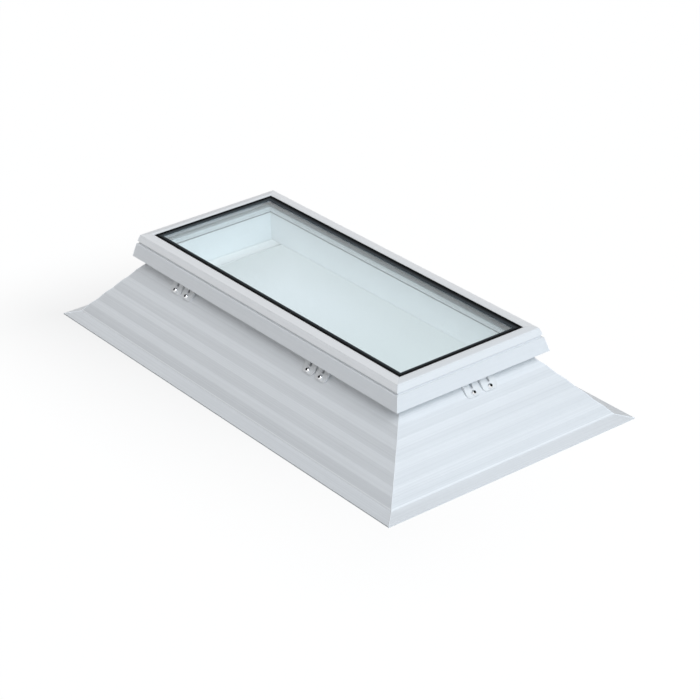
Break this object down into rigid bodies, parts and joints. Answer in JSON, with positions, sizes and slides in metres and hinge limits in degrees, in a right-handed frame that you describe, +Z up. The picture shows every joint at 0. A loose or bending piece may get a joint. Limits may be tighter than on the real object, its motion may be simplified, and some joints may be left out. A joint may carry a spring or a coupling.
{
  "type": "roof skylight",
  "caption": "Flat-roof skylight: sealed double glazing with a black gasket in a white mitred frame, screwed by clips to a sloping hollow upstand with a roof flange.",
  "frame": {"origin": "centre of the underside of the flange, on the roof surface", "axes": "+X along the long side, +Y across the roof opening, +Z up towards the glass"},
  "size_m": [1.604, 0.854, 0.2754],
  "materials": {
    "upstand_plastic": "satin white extruded rigid plastic",
    "frame_plastic": "smooth white extruded rigid plastic",
    "clip_plastic": "moulded white plastic",
    "black_rubber": "extruded black rubber",
    "grey_rubber": "soft extruded grey rubber",
    "edge_sealant": "black sealant",
    "clear_glass": "clear float glass with a slight cyan tint",
    "spacer_metal": "satin anodised",
    "block_plastic": "moulded grey plastic",
    "screw_steel": "bright stainless steel"
  },
  "bodies": {
    "root": {"upstand_front": "upstand_plastic", "upstand_right": "upstand_plastic", "upstand_back": "upstand_plastic", "upstand_left": "upstand_plastic", "neck_seal": "black_rubber", "frame_front": "frame_plastic", "frame_right": "frame_plastic", "frame_back": "frame_plastic", "frame_left": "frame_plastic", "inner_gasket": "grey_rubber", "inner_pane": "clear_glass", "spacer_bar": "spacer_metal", "edge_seal": "edge_sealant", "outer_pane": "clear_glass", "setting_blocks": "block_plastic", "outer_gasket": "black_rubber", "bead_front": "frame_plastic", "bead_right": "frame_plastic", "bead_back": "frame_plastic", "bead_left": "frame_plastic", "clip_front_left": "clip_plastic", "clip_front_right": "clip_plastic", "clip_right": "clip_plastic", "clip_back_right": "clip_plastic", "clip_back_left": "clip_plastic", "clip_left": "clip_plastic", "clip_screws": "screw_steel"}
  },
  "joints": []
}
